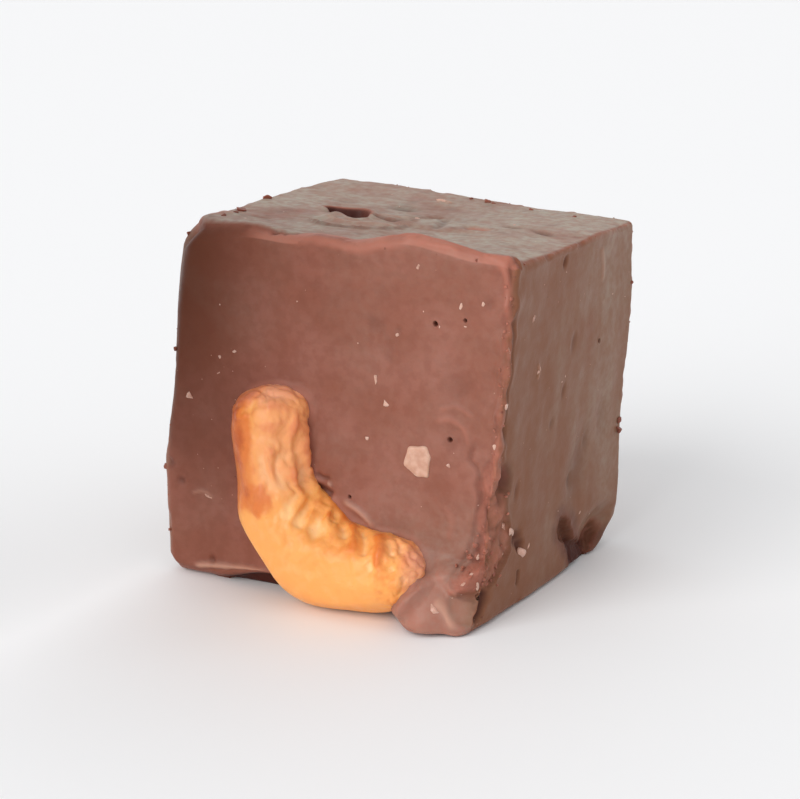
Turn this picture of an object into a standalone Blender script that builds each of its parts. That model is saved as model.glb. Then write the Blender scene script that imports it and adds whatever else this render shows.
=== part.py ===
"""One hand-cut cube of fudge with a roasted cashew pressed into its front face.

The script works in millimetres and writes metres, +Z up. The origin is under the middle of the
piece, on the surface it stands on. The face with the nut looks along -Y.
"""

import math

import bmesh
import bpy
from mathutils import Vector, geometry, noise

MM = 0.001

# The block: its mean size, and how far each hand-cut corner lies from the corner of a true box
BLOCK_WIDTH, BLOCK_DEPTH, BLOCK_HEIGHT = 31.8, 25.7, 31.2
BLOCK_MIDDLE = Vector((0.1, 1.7, BLOCK_HEIGHT / 2))
CORNER_SHIFTS = {
    (-1, -1, -1): (-0.9, -1.3, 0.0),
    (1, -1, -1): (-1.5, -0.2, 0.0),
    (-1, 1, -1): (0.2, 0.6, 0.0),
    (1, 1, -1): (-0.7, -0.1, 0.0),
    (-1, -1, 1): (0.5, 0.0, 0.5),
    (1, -1, 1): (1.2, 0.0, -0.2),
    (-1, 1, 1): (0.9, 1.7, -0.4),
    (1, 1, 1): (0.6, -0.8, -1.0),
}
EDGE_RADIUS = 0.75
SOFTER_CORNERS = {(-1, -1, 1): 2.9, (1, -1, 1): 0.9, (-1, -1, -1): 1.4, (1, 1, -1): 0.8}

# Slow unevenness of every face, and the sag in the middle of each upright and of the top
WAVE_HEIGHT, WAVE_LENGTH = 0.30, 9.0
HOLLOW_DEPTH = 0.35
# The knife tore the edge to the right of the nut: how rough it is, and how wide a band
TORN_HEIGHT, TORN_LENGTH, TORN_BAND = 0.8, 1.9, 2.4
TORN_MORE_BELOW = 0.4

# Knocks, lumps and chips: (middle, reach, push). A push fades to nothing at its reach.
KNOCKS = {
    "bulge_of_left_side": ((-17.0, -5.4, 10.0), (4.0, 16.0, 9.5), (-0.5, 0.0, 0.0)),
    "bump_on_left_edge": ((-17.2, -10.9, 10.2), (2.4, 4.0, 2.2), (-0.35, 0.0, 0.0)),
    "foot_beside_nut": ((11.5, -11.3, 0.0), (5.7, 5.0, 5.6), (0.0, -3.1, 0.0)),
    "hollow_above_foot": ((16.0, -11.2, 9.0), (3.0, 3.0, 4.5), (-0.6, 0.7, 0.0)),
    "ridge_under_top_edge": ((4.2, -11.4, 30.2), (13.5, 2.4, 1.6), (0.0, -0.4, 0.1)),
    "left_lip_on_top_edge": ((-8.3, -11.0, 31.4), (5.0, 3.0, 2.0), (0.0, 0.0, 0.5)),
    "right_lip_on_top_edge": ((7.8, -10.7, 31.2), (6.5, 3.6, 2.0), (0.0, 0.0, 1.45)),
    "gouge_in_top": ((-5.7, 1.6, 31.0), (3.1, 1.5, 2.0), (0.0, 0.0, -1.2)),
    "rim_of_gouge": ((-2.8, 0.8, 31.0), (6.0, 1.6, 2.0), (0.0, 0.0, 0.3)),
    "crease_in_top": ((3.7, 0.0, 31.0), (7.0, 1.3, 2.0), (0.0, 0.0, -0.4)),
    "chip_at_back_foot": ((16.0, 10.2, 2.0), (2.6, 5.0, 3.4), (-1.5, 0.0, 0.3)),
    "gap_under_nut": ((-2.3, -11.4, 0.0), (9.0, 5.5, 2.4), (0.0, 0.0, 1.2)),
}

CELLS = 26  # grid cells along each side of the block
ROUND_CELLS = 3  # of those, the cells in each rounded edge

# The cashew: its middle line on the face, and half its width and thickness from end to end
NUT_LINE = ((-5.1, 18.0), (-5.5, 5.1), (-3.0, 2.1), (9.8, 4.4))
NUT_PLANE_Y = -12.3
NUT_HALF_WIDTHS = (2.9, 3.0, 3.6, 4.1, 3.5, 2.9)
NUT_HALF_THICKNESSES = (3.1, 3.4, 3.7, 3.7, 3.5, 3.2)
NUT_END_ROUNDS = (1.7, 2.7)
NUT_WRINKLE_DEPTH, NUT_WRINKLE_WIDTH, NUT_WRINKLE_RUN = 0.35, 2.0, 5.0
NUT_LINE_POINTS = 600
NUT_RINGS, NUT_SIDES = 34, 24
POCKET_GAP = 0.3

FUDGE_COLOUR = (0.30, 0.135, 0.088, 1.0)
CASHEW_COLOUR = (0.78, 0.36, 0.10, 1.0)

HALF_SIZES = Vector((BLOCK_WIDTH, BLOCK_DEPTH, BLOCK_HEIGHT)) / 2


def clear_scene():
    for obj in list(bpy.data.objects):
        bpy.data.objects.remove(obj, do_unlink=True)


def material(name, colour, roughness):
    made = bpy.data.materials.new(name)
    made.use_nodes = True
    shader = made.node_tree.nodes["Principled BSDF"]
    shader.inputs["Base Color"].default_value = colour
    shader.inputs["Roughness"].default_value = roughness
    shader.inputs["Metallic"].default_value = 0.0
    return made


def object_from(name, bm, surface=None):
    """A smooth-shaded object whose mesh is bm, scaled from millimetres to metres."""
    bmesh.ops.scale(bm, vec=(MM, MM, MM), verts=bm.verts)
    bmesh.ops.recalc_face_normals(bm, faces=bm.faces)
    mesh = bpy.data.meshes.new(name)
    bm.to_mesh(mesh)
    bm.free()
    mesh.shade_smooth()
    if surface:
        mesh.materials.append(surface)
    obj = bpy.data.objects.new(name, mesh)
    bpy.context.scene.collection.objects.link(obj)
    return obj


def corner_weight(signs, share):
    """1 at one corner of the cube of side 2, falling to 0 on the three faces opposite."""
    return math.prod((1 + signs[axis] * share[axis]) / 2 for axis in range(3))


def edge_radius(share):
    extras = (r * corner_weight(signs, share) ** 3 for signs, r in SOFTER_CORNERS.items())
    return EDGE_RADIUS + sum(extras)


def grid_place(share, half, radius):
    """Where a grid line lies along a side: even on the flat, and at even angles round the edge."""
    flat_share = 1 - 2 * ROUND_CELLS / CELLS
    size = abs(share)
    if size <= flat_share:
        place = (half - radius) * size / flat_share
    else:
        angle = math.radians(45) * (size - flat_share) / (1 - flat_share)
        place = half - radius + radius * math.tan(angle)
    return math.copysign(place, share)


def rounded_box_point(share):
    """The point of the rounded true box for a point of the cube of side 2, and its normal."""
    radius = edge_radius(share)
    sharp = Vector([grid_place(share[i], HALF_SIZES[i], radius) for i in range(3)])
    inner = HALF_SIZES - Vector((radius, radius, radius))
    core = Vector([max(-inner[i], min(inner[i], sharp[i])) for i in range(3)])
    normal = (sharp - core).normalized()
    return core + normal * radius, normal


def hand_cut(point):
    """Moves a point of the true box with the shifts of the eight corners."""
    share = Vector([point[i] / HALF_SIZES[i] for i in range(3)])
    shift = Vector((0, 0, 0))
    for signs, corner_shift in CORNER_SHIFTS.items():
        shift += corner_weight(signs, share) * Vector(corner_shift)
    return BLOCK_MIDDLE + point + shift


def relief(on_box, share, normal):
    """How far the surface stands off the hand-cut box."""
    if normal.z < -0.99:
        return 0.0  # the underside is flat where it rests
    wave = WAVE_HEIGHT * noise.noise(on_box / WAVE_LENGTH)
    across = [s for s in share if abs(s) < 0.999]
    hollow = math.prod(1 - s * s for s in across) if len(across) == 2 else 0.0
    from_edge = math.hypot(HALF_SIZES.x - on_box.x, HALF_SIZES.y + on_box.y)
    nearness = max(0.0, 1 - from_edge / TORN_BAND) * (1 - TORN_MORE_BELOW * share.z)
    torn = TORN_HEIGHT * nearness * noise.noise(on_box / TORN_LENGTH)
    return wave + torn - HOLLOW_DEPTH * hollow


def knocked(point):
    """The point after every knock, lump and chip near it."""
    moved = point.copy()
    for middle, reach, push in KNOCKS.values():
        away = point - Vector(middle)
        distance = sum((away[i] / reach[i]) ** 2 for i in range(3))
        if distance < 1:
            moved += (1 - distance) ** 2 * Vector(push)
    moved.z = max(moved.z, 0.0)
    return moved


def fudge_block():
    bm = bmesh.new()
    bmesh.ops.create_cube(bm, size=2)
    bmesh.ops.subdivide_edges(bm, edges=bm.edges[:], cuts=CELLS - 1, use_grid_fill=True)
    for vert in bm.verts:
        share = vert.co.copy()
        on_box, normal = rounded_box_point(share)
        vert.co = knocked(hand_cut(on_box) + normal * relief(on_box, share, normal))
    return object_from("fudge_block", bm, material("fudge", FUDGE_COLOUR, 0.45))


def read_along(values, share):
    """Reads evenly spaced values at a share from 0 to 1, smoothly."""
    place = share * (len(values) - 1)
    low = min(int(place), len(values) - 2)
    blend = place - low
    blend = blend * blend * (3 - 2 * blend)
    return values[low] * (1 - blend) + values[low + 1] * blend


def nut_line():
    """Close points along the middle of the nut, and how far along it each of them is."""
    knots = [Vector((x, NUT_PLANE_Y, z)) for x, z in NUT_LINE]
    points = geometry.interpolate_bezier(*knots, NUT_LINE_POINTS)
    lengths = [0.0]
    for a, b in zip(points, points[1:]):
        lengths.append(lengths[-1] + (b - a).length)
    return points, lengths


def nut_ring(points, lengths, share, grow):
    """The points round one section of the nut."""
    whole = lengths[-1]
    index = next(i for i, length in enumerate(lengths) if length >= share * whole)
    index = min(max(index, 1), len(points) - 2)
    tangent = (points[index + 1] - points[index - 1]).normalized()
    inward = Vector((-tangent.z, 0, tangent.x))
    to_end = min(share / NUT_END_ROUNDS[0], (1 - share) / NUT_END_ROUNDS[1]) * whole
    cap = math.sqrt(1 - (1 - min(to_end, 1.0)) ** 2)
    half_width = read_along(NUT_HALF_WIDTHS, share)
    half_thickness = read_along(NUT_HALF_THICKNESSES, share)
    ring = []
    for side in range(NUT_SIDES):
        angle = 2 * math.pi * side / NUT_SIDES
        round_about = Vector((math.cos(angle), math.sin(angle))) * half_width
        where = (round_about.x / NUT_WRINKLE_WIDTH, round_about.y / NUT_WRINKLE_WIDTH)
        wrinkle = noise.noise(Vector((*where, share * whole / NUT_WRINKLE_RUN)))
        swell = 1 + NUT_WRINKLE_DEPTH * wrinkle / half_width
        offset = inward * (half_width * swell * cap + grow) * math.cos(angle)
        offset.y = (half_thickness * swell * cap + grow) * math.sin(angle)
        ring.append(points[index] + offset)
    return ring


def cashew(name, grow=0.0, surface=None):
    """The whole nut, or with grow the pocket that holds it."""
    points, lengths = nut_line()
    bm = bmesh.new()
    loops = []
    for ring in range(1, NUT_RINGS):
        share = 0.5 - 0.5 * math.cos(math.pi * ring / NUT_RINGS)
        loops.append([bm.verts.new(co) for co in nut_ring(points, lengths, share, grow)])
    for near, far in zip(loops, loops[1:]):
        for i in range(NUT_SIDES):
            j = (i + 1) % NUT_SIDES
            bm.faces.new((near[i], near[j], far[j], far[i]))
    for loop, end, inside in ((loops[0], points[0], points[1]), (loops[-1], points[-1], points[-2])):
        tip = bm.verts.new(end + (end - inside).normalized() * grow)
        for i in range(NUT_SIDES):
            bm.faces.new((loop[i], loop[(i + 1) % NUT_SIDES], tip))
    return object_from(name, bm, surface)


def press_in(block, nut_pocket):
    """Cuts the nut's pocket out of the block."""
    nut_pocket.hide_render = True
    nut_pocket.display_type = "WIRE"
    cut = block.modifiers.new("nut_pocket", "BOOLEAN")
    cut.operation = "DIFFERENCE"
    cut.solver = "EXACT"
    cut.object = nut_pocket


clear_scene()
block = fudge_block()
cashew("cashew", surface=material("cashew", CASHEW_COLOUR, 0.4))
press_in(block, cashew("nut_pocket", grow=POCKET_GAP))
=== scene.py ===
"""The looks of one hand-cut cube of caramel fudge with a roasted cashew pressed into its front face.

Shapes are worked out in millimetres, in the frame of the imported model, and scaled to metres at the
end. The face with the cashew looks along -Y. A place on a face is given by the two coordinates that
run along it: (x, z) on the front and the back, (y, z) on the sides and (x, y) on the top. A place on
the cashew is given by its share along the nut, from the upper end, and its angle round the nut in
degrees: 0 is the inside of the bend and -90 faces forward.
"""

import math
import random

import bmesh
import bpy
import numpy as np
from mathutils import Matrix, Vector, geometry, kdtree, noise


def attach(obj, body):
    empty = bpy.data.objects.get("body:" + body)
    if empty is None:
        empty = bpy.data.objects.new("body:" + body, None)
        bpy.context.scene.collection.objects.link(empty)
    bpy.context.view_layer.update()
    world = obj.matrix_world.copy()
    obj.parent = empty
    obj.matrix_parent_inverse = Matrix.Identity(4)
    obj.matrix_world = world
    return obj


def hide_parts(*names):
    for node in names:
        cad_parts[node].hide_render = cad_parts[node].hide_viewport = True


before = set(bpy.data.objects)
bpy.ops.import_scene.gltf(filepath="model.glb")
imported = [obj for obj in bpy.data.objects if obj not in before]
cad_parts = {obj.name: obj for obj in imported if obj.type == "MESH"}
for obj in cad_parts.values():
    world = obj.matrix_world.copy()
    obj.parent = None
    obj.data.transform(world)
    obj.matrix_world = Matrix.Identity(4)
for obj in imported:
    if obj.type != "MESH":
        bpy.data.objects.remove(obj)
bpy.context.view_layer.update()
MM = 0.001

# ---- the block, as the solid has it
HALF = np.array((31.8, 25.7, 31.2)) / 2
BLOCK_MIDDLE = np.array((0.1, 1.7, HALF[2]))
CORNER_SHIFTS = {
    (-1, -1, -1): (-0.9, -1.3, 0),
    (1, -1, -1): (-1.5, -0.2, 0),
    (-1, 1, -1): (0.2, 0.6, 0),
    (1, 1, -1): (-0.7, -0.1, 0),
    (-1, -1, 1): (0.5, 0, 0.5),
    (1, -1, 1): (1.2, 0, -0.2),
    (-1, 1, 1): (0.9, 1.7, -0.4),
    (1, 1, 1): (0.6, -0.8, -1),
}
EDGE_RADIUS = 0.75
SOFTER_CORNERS = {(-1, -1, 1): 2.9, (1, -1, 1): 0.9, (-1, -1, -1): 1.4, (1, 1, -1): 0.8}
WAVE_HEIGHT, WAVE_LENGTH = 0.3, 9
HOLLOW_DEPTH = 0.35
TORN_HEIGHT, TORN_LENGTH, TORN_BAND, TORN_MORE_BELOW = 0.8, 1.9, 2.4, 0.4
# middle, reach and push of each
KNOCKS = {
    "bulge_of_left_side": ((-17, -5.4, 10), (4, 16, 9.5), (-0.5, 0, 0)),
    "bump_on_left_edge": ((-17.2, -10.9, 10.2), (2.4, 4, 2.2), (-0.35, 0, 0)),
    "foot_beside_nut": ((11.5, -11.3, 0), (5.7, 5, 5.6), (0, -3.1, 0)),
    "hollow_above_foot": ((16, -11.2, 9), (3, 3, 4.5), (-0.6, 0.7, 0)),
    "ridge_under_top_edge": ((4.2, -11.4, 30.2), (13.5, 2.4, 1.6), (0, -0.4, 0.1)),
    "left_lip_on_top_edge": ((-8.3, -11, 31.4), (5, 3, 2), (0, 0, 0.5)),
    "right_lip_on_top_edge": ((7.8, -10.7, 31.2), (6.5, 3.6, 2), (0, 0, 1.45)),
    "gouge_in_top": ((-5.7, 1.6, 31), (3.1, 1.5, 2), (0, 0, -1.2)),
    "rim_of_gouge": ((-2.8, 0.8, 31), (6, 1.6, 2), (0, 0, 0.3)),
    "crease_in_top": ((3.7, 0, 31), (7, 1.3, 2), (0, 0, -0.4)),
    "chip_at_back_foot": ((16, 10.2, 2), (2.6, 5, 3.4), (-1.5, 0, 0.3)),
    "gap_under_nut": ((-2.3, -11.4, 0), (9, 5.5, 2.4), (0, 0, 1.2)),
}
SOLID_FLAT_SHARE = 1 - 2 * 3 / 26  # how far from the middle of a side its rounding starts
ON_FACE, FACING_DOWN = 0.999, -0.99

# ---- the nut, as the solid has it
NUT_LINE = ((-5.1, 18), (-5.5, 5.1), (-3, 2.1), (9.8, 4.4))
NUT_PLANE_Y = -12.3
NUT_HALF_WIDTHS = (2.9, 3, 3.6, 4.1, 3.5, 2.9)
NUT_HALF_THICKNESSES = (3.1, 3.4, 3.7, 3.7, 3.5, 3.2)
NUT_END_ROUNDS = (1.7, 2.7)
NUT_WRINKLE_DEPTH, NUT_WRINKLE_SIZE = 0.35, (2, 2, 5)
NUT_LINE_POINTS = 600
NUT_MEETS_FACE_Y = -11.3
NUT_GAP = 0.3  # between the nut and its pocket
NUT_RINGS, NUT_SIDES = 236, 144

# ---- how finely the block is meshed
CELLS = 46
ROUND_CELLS = 2.5  # of those, the cells in each rounded edge
LEVEL_MARGIN = 0.35  # features reach this far beyond their outline when the mesh is refined
NEARLY_DOWN = 0.05  # underside points below this height stand on the floor

MASKS = ("bloom", "rosy", "dark", "pale", "torn", "cut", "deep")

# ---- marks, by face
# place, radius, depth
PORES = {
    "front": (
        (9.9, 25.4, 0.24, 0.42), (12.6, 26, 0.18, 0.32), (11.3, 15.9, 0.23, 0.35), (2, 9.6, 0.18, 0.3),
    ),
    "top": ((-6.1, -3.4, 0.34, 0.35),),
    "right": ((7.4, 20.6, 0.22, 0.25),),
    "left": ((-3.1, 20.4, 0.24, 0.35), (4.8, 8.3, 0.3, 0.35)),
    "back": ((-6.2, 22.7, 0.26, 0.4), (8.4, 12.1, 0.22, 0.35), (3.1, 6.4, 0.32, 0.4)),
}
# place, radii, turn in degrees, depth, and how dark the hollow is painted, as painted shade
DENTS = {
    "front": (
        (4.4, 24.7, 1.2, 1, 0, 0.16, 0.2), (6.5, 24.5, 0.5, 0.5, 0, 0.1, 0.18),
        (5.7, 22.6, 0.7, 1.5, 0, 0.12, 0.12), (14.8, 27.6, 0.8, 0.8, 0, 0.14, 0.2),
        (11.9, 20.1, 2.2, 2.6, -25, 0.2, 0.16), (11.6, 15.9, 1.5, 1.7, 0, 0.14, 0.14),
        (-9.6, 20.4, 1.6, 1.1, 20, 0.08, 0), (-14.6, 8.6, 0.6, 0.5, 0, 0.2, 0.45),
        (-15.9, 10, 0.9, 0.7, 0, 0.25, 0.4), (-11.5, 1.8, 0.5, 0.6, 0, 0.22, 0.4),
    ),
    "top": (
        (-5.6, -10.5, 0.7, 0.35, 20, 0.3, 0.6), (-4.6, -10.4, 0.4, 0.3, 0, 0.24, 0.5),
        (-3, 7.1, 2.2, 1.3, 0, 0.28, 0.55), (9.4, 3.9, 1.3, 0.7, -10, 0.26, 0.6),
        (12.6, 3.3, 1.9, 0.8, -24, 0.28, 0.6), (6.8, 1.9, 1.5, 0.8, 0, 0.35, 0.35),
        (-10.4, -5, 1.6, 0.7, 15, 0.12, 0.2), (-8.9, 6.8, 2.6, 0.9, 10, 0.14, 0.25),
    ),
    "right": (
        (-6, 6.5, 1.2, 1, -30, 0.5, 0.85), (-5.2, 5.6, 0.9, 0.9, 0, 0.45, 0.8),
        (-9, 12.5, 1.5, 2.2, 15, 0.5, 0.78), (-9.3, 10.8, 0.8, 1, 0, 0.25, 0.45),
        (4.2, 8.6, 0.9, 1.3, 0, 0.2, 0.4), (7, 11.4, 0.8, 1.5, 10, 0.16, 0.25),
        (5.3, 9.6, 2.8, 5.4, -20, 0.22, 0.22), (-0.8, 29.2, 0.5, 0.8, -20, 0.25, 0.55),
        (1.2, 17.6, 0.5, 1.1, -15, 0.12, 0.3), (-0.6, 15.1, 0.6, 0.8, 0, 0.12, 0.25),
        (2.2, 21.6, 0.7, 1.3, -10, 0.12, 0.28), (-6.9, 11, 0.6, 1.2, -10, 0.14, 0.28),
        (9.8, 13, 1.6, 3.2, 10, 0.14, 0.12),
    ),
    "left": ((-2, 12, 2.4, 1.5, 30, 0.18, 0.1), (6.4, 23, 1.2, 2.6, 10, 0.16, 0.12)),
    "back": (
        (-8, 9, 2.8, 1.6, -20, 0.2, 0.1), (5.5, 20.5, 1.5, 1.1, 40, 0.18, 0.14),
        (11, 4.6, 1.8, 1.2, 10, 0.22, 0.16),
    ),
}
# mask, how much of it, half width, height (below 0 for a groove), path
# the dark strokes are grooves and creases painted dark: painted shade in them
STROKES = {
    "front": (
        ("rosy", 0.35, 0.4, 0.1, (9.9, 17.2), (11.3, 17.6), (12.6, 16.9), (13, 15.6)),
        ("rosy", 0.25, 0.35, 0.08, (10.2, 18.2), (11.8, 18.7), (13.4, 18)),
        ("dark", 0.22, 0.34, -0.2, (13.8, 16.2), (13.1, 14.5), (13.8, 13.7), (14.1, 12), (13.8, 9.4)),
        ("dark", 0.28, 0.38, -0.26, (13.8, 9.4), (13.2, 7.2), (12.3, 5), (11.8, 4.1)),
        ("rosy", 0.2, 0.55, 0.1, (10.8, 10.2), (11.6, 8.9), (11.2, 7.2)),
        # a painted highlight along the raised ridge on the foot
        ("pale", 0.4, 0.45, 0.3, (11.4, 3.1), (12, 2.6), (12.4, 2.2), (12.8, 1.5), (13.3, 0.75)),
        ("rosy", 0.8, 0.6, 0.34, (12, 3.5), (12.9, 3.8), (13.7, 4), (14.4, 3.7)),
        ("pale", 0.16, 0.26, 0.08, (-13.6, 7.6), (-12.4, 7.9), (-11.4, 7.4)),
        ("dark", 0.6, 0.5, -0.4, (-1.4, 10.1), (-0.5, 9.8), (0.4, 9.4)),
        ("dark", 0.45, 0.3, -0.2, (-1.4, 11.2), (-0.6, 10.9), (0.1, 10.9)),
        # the next three pale strokes are painted highlights: on the rim beside the crevice at the bend, on
        # the raised rim along the nut's inner edge, and along the raised lower edge left of the nut
        ("pale", 0.4, 0.32, 0.14, (-0.2, 10.5), (0.2, 10.3)),
        ("pale", 0.36, 0.42, 0.24, (1.3, 9.2), (2.5, 8.7), (3.5, 8.1), (4.4, 7.3)),
        ("pale", 0.45, 0.38, 0.26, (-13.4, 1.05), (-11.4, 1.35), (-9, 1.5), (-5.8, 1.7)),
        ("rosy", 0.05, 1.6, 0.18, (-3, 28.7), (2, 28.4), (7, 28.9), (12, 28.6)),
        # the reddish band along the top front edge: the fudge's own reddish tone and a painted highlight
        # along the lit rounding
        ("rosy", 0.7, 0.75, 0.18, (-4.5, 30.9), (-1.6, 31), (0.5, 30.9), (3, 30.8),
            (5.4, 31.4), (7.8, 32)),
        ("rosy", 0.75, 0.42, 0.16, (7.6, 32), (10.2, 31.7), (12.2, 31.2), (14.2, 30.8), (15.8, 30.6)),
        ("rosy", 0.6, 0.45, 0.14, (15.4, 30.6), (16.1, 29.8), (16.3, 28.4), (16.4, 26)),
    ),
    "right": (
        ("dark", 0.92, 0.7, -0.5, (-10.2, 3.3), (-10.9, 2.5), (-11.5, 1.6), (-12.2, 0.8)),
        ("dark", 0.5, 0.35, -0.2, (-5.1, 3.4), (-5, 2.7), (-5.2, 1.9)),
        ("pale", 0.35, 0.24, 0.14, (-4.5, 21.3), (-4.1, 20.6), (-4.3, 19.9)),
        ("pale", 0.16, 0.55, 0.1, (6.6, 29), (7.2, 27.6), (7.4, 25.8)),
        ("dark", 0.38, 0.42, -0.22, (-10.5, 28), (-10.2, 23), (-10.1, 18), (-9.7, 15.4)),
    ),
    "top": (
        ("rosy", 0.8, 0.9, 0.12, (-14.6, -9.8), (-13.7, -7.5), (-13.3, -5)),
        ("dark", 0.5, 0.45, -0.3, (-2.9, 0.8), (-1.9, 0.6), (-0.4, 0.6), (0.2, 2), (1.1, 2)),
        ("dark", 0.36, 0.95, -0.3, (-0.9, 3.4), (0.3, 4.3), (1.5, 6.2)),
        ("dark", 0.36, 0.75, -0.24, (1.9, 5.4), (3, 3.2), (3.6, 0.6)),
        ("pale", 0.22, 0.45, 0.18, (-2.6, 1.6), (-0.9, 2), (-0.2, 3.2)),
        ("pale", 0.12, 0.6, 0.22, (-7.6, 0.2), (-5, -2.2), (-2, -2.8), (1.2, -1.4)),
        ("rosy", 0.85, 0.5, -0.22, (5.7, 1.9), (6.4, 2.6), (7.9, 2.1), (7.5, 1.2)),
        ("pale", 0.4, 0.5, 0.16, (-1.9, 11), (-1.4, 11.8), (-0.6, 11.4)),
    ),
    "back": (("dark", 0.1, 0.5, -0.14, (-12, 14), (-7, 15.6), (-1, 14.9)),),
    "left": (("dark", 0.1, 0.55, -0.14, (-8, 16), (-2, 17.3), (5, 16.4)),),
}
CRATER = ((-8.7, 2.7), (-8.2, 3.6), (-5, 4.2), (-2.7, 0.4), (-2.9, -0.8), (-3.7, -1.1), (-7.2, 1.6))
CRATER_DEPTH, CRATER_WALL = 1.45, 0.5
PLATE_EDGE = ((-7.4, -2.5), (-5.4, -4.3), (-3.4, -4.8), (0.2, -4.2), (1.6, -1.6), (1.4, 0.8))
PLATE_RISE, PLATE_REACH = 0.38, 3.5
# the forked hollow at the back foot of the right side
RECESS = (
    (2.4, 6.1), (2.1, 4.6), (2.6, 3.4), (3.7, 2.6), (4.5, 1.8), (4.7, 0.6), (5.4, -0.8), (11.6, -0.8),
    (12.9, 0.8), (12.7, 1.8), (11.6, 2.6), (10.7, 2.9), (10, 2.5), (9, 2.1), (7.6, 2.1), (6.5, 2.6),
    (5.7, 3.4), (5, 4.4), (4.4, 5.2), (3.6, 5.6),
)
RECESS_DEPTH, RECESS_WALL, RECESS_SEED = 1, 0.95, 3
CORNER_LOSS = 3  # how far the back corner beside it is worn off
# the crest of the top front edge: its places, where its reddish smear ends, which is partly the fudge's own
# colour and partly a painted highlight, and how much it is raised
CREST_X = (-9, -5.8, -3.4, -1.5, 0.8, 3.7, 6.1, 7.5, 9.4, 10.3, 12, 13.7, 15.3, 16.6)
CREST_Y = (-10.7, -10.5, -10.2, -9.3, -9.4, -10.3, -10.5, -10.2, -10.4, -10.2, -10.3, -10.4, -10.4, -10.4)
CREST_LIFT = (0, 0, 0, 0.25, 0.25, 0.05, 0, 0, 0.05, 0.15, 0.45, 0.68, 0.72, 0.72)
CREST_LINE_Y, CREST_LEVEL, CREST_REACH = -10.9, 31.2, 2.6
# the torn strip on the upright edge at the right: where it starts on the front and ends on the side
TORN_FROM_Z = (2.6, 4.2, 5.7, 7.8, 10.2, 12.6, 15, 20, 28, 31.5)
TORN_FROM_X = (14.6, 12.3, 12.9, 13.6, 13.8, 13.5, 14.9, 15.6, 16.1, 16.4)
TORN_TO_Y = (-10.6, -8.5, -7, -7.4, -8.6, -8, -9.8, -10.3, -10.5, -10.8)
CRUMBLY_MIDDLE, CRUMBLY_REACH = (13.6, -11, 5.2), 3.6
# the lobe of fudge that laps over the lower right end of the nut, and its broken facet
LOBE = ((10.6, 5.6), (9.4, 4.4), (8.5, 3.5), (7.8, 2.4), (7.5, 1.2), (7.6, -1), (14.5, -1), (14.5, 5.6))
LOBE_UNDER, LOBE_OVER, LOBE_EDGE, LOBE_BLEND = 0.6, 0.6, 1.1, 2.4
LOBE_BULK, LOBE_BULK_REACH, LOBE_BULGE = (9.2, 2.3), (1.3, 4.2), 1.6
FACET_POINT, FACET_NORMAL, FACET_REACH = (13.5, -12.2, 2.2), (0.62, -0.62, 0.48), 1.8
# the dark gap left of the nut: where it starts, how far its edge is raised, and where it ends behind
GAP_LEFT, GAP_LIFT, GAP_Y = -11.5, 0.55, (-11.1, -10.4)


# ---- small tools
def ramp(value, low, high):
    """0 at low and 1 at high, smooth between and flat beyond. low may be the larger one."""
    share = np.clip((value - low) / (high - low), 0, 1)
    return share * share * (3 - 2 * share)


def hill(distance, reach):
    """1 at distance 0, falling smoothly to 0 at reach."""
    return np.clip(1 - (distance / reach) ** 2, 0, None) ** 2


def noise_at(points, length, shift=0):
    """Smooth noise from about -1 to 1 at each point. Its lumps are about length across."""
    return np.array([noise.noise(p) for p in (points / length + shift).tolist()])


def rough_noise(points, length, octaves=4, shift=0):
    """Noise with finer lumps on the lumps."""
    lengths = (np.array(length) / 2**k for k in range(octaves))
    return sum(noise_at(points, fine, shift + 7.3 * k) / 2**k for k, fine in enumerate(lengths))


def chunks(points, length, shift=0):
    """Broken facets: 0 in the cracks between chunks and about 1 on their middles."""
    cells = (noise.voronoi(p)[0] for p in (points / length + shift).tolist())
    return np.array([min(1, 1.6 * (near[1] - near[0])) for near in cells])


def size_of(vectors):
    return np.linalg.norm(vectors, axis=1)


def unit(vectors):
    return vectors / size_of(vectors)[:, None]


def limited(values):
    return np.clip(values, 0, 1)


def smooth_path(path, steps=8):
    """Points on a smooth curve through the points of path."""
    knots = np.array([path[0], *path, path[-1]], float)
    points = []
    for a, b, c, d in zip(knots, knots[1:], knots[2:], knots[3:]):
        for t in np.arange(steps) / steps:
            bend = (2 * a - 5 * b + 4 * c - d) * t * t + (3 * b - a - 3 * c + d) * t**3
            points.append(b + 0.5 * ((c - a) * t + bend))
    return np.array([*points, knots[-1]])


def path_distance(places, line):
    """How far each place lies from a line, and its share along it."""
    best = np.full(len(places), np.inf)
    share = np.zeros(len(places))
    for i, (a, b) in enumerate(zip(line, line[1:])):
        span = b - a
        t = limited((places - a) @ span / max(span @ span, 1e-9))
        distance = size_of(places - a - t[:, None] * span)
        closer = distance < best
        best[closer] = distance[closer]
        share[closer] = ((i + t) / (len(line) - 1))[closer]
    return best, share


def inside_distance(places, outline):
    """How far each place lies inside a closed outline, below 0 outside it."""
    line = np.vstack([outline, outline[:1]])
    distance, _ = path_distance(places, line)
    x, y = places.T
    crossings = np.zeros(len(places), int)
    for (ax, ay), (bx, by) in zip(line, line[1:]):
        if ay != by:
            crossings += ((ay > y) != (by > y)) & (x < ax + (y - ay) * (bx - ax) / (by - ay))
    return np.where(crossings % 2 == 1, distance, -distance)


def read_along(values, share):
    """Reads evenly spaced values at shares from 0 to 1, smoothly."""
    values = np.array(values)
    place = share * (len(values) - 1)
    low = np.minimum(place.astype(int), len(values) - 2)
    blend = ramp(place - low, 0, 1)
    return values[low] * (1 - blend) + values[low + 1] * blend


def pushed(moved, point, pushes):
    """Moves points softly, most where they lie near a push's middle."""
    for middle, reach, push in pushes:
        moved = moved + hill(size_of((point - middle) / reach), 1)[:, None] * push
    return moved


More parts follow.
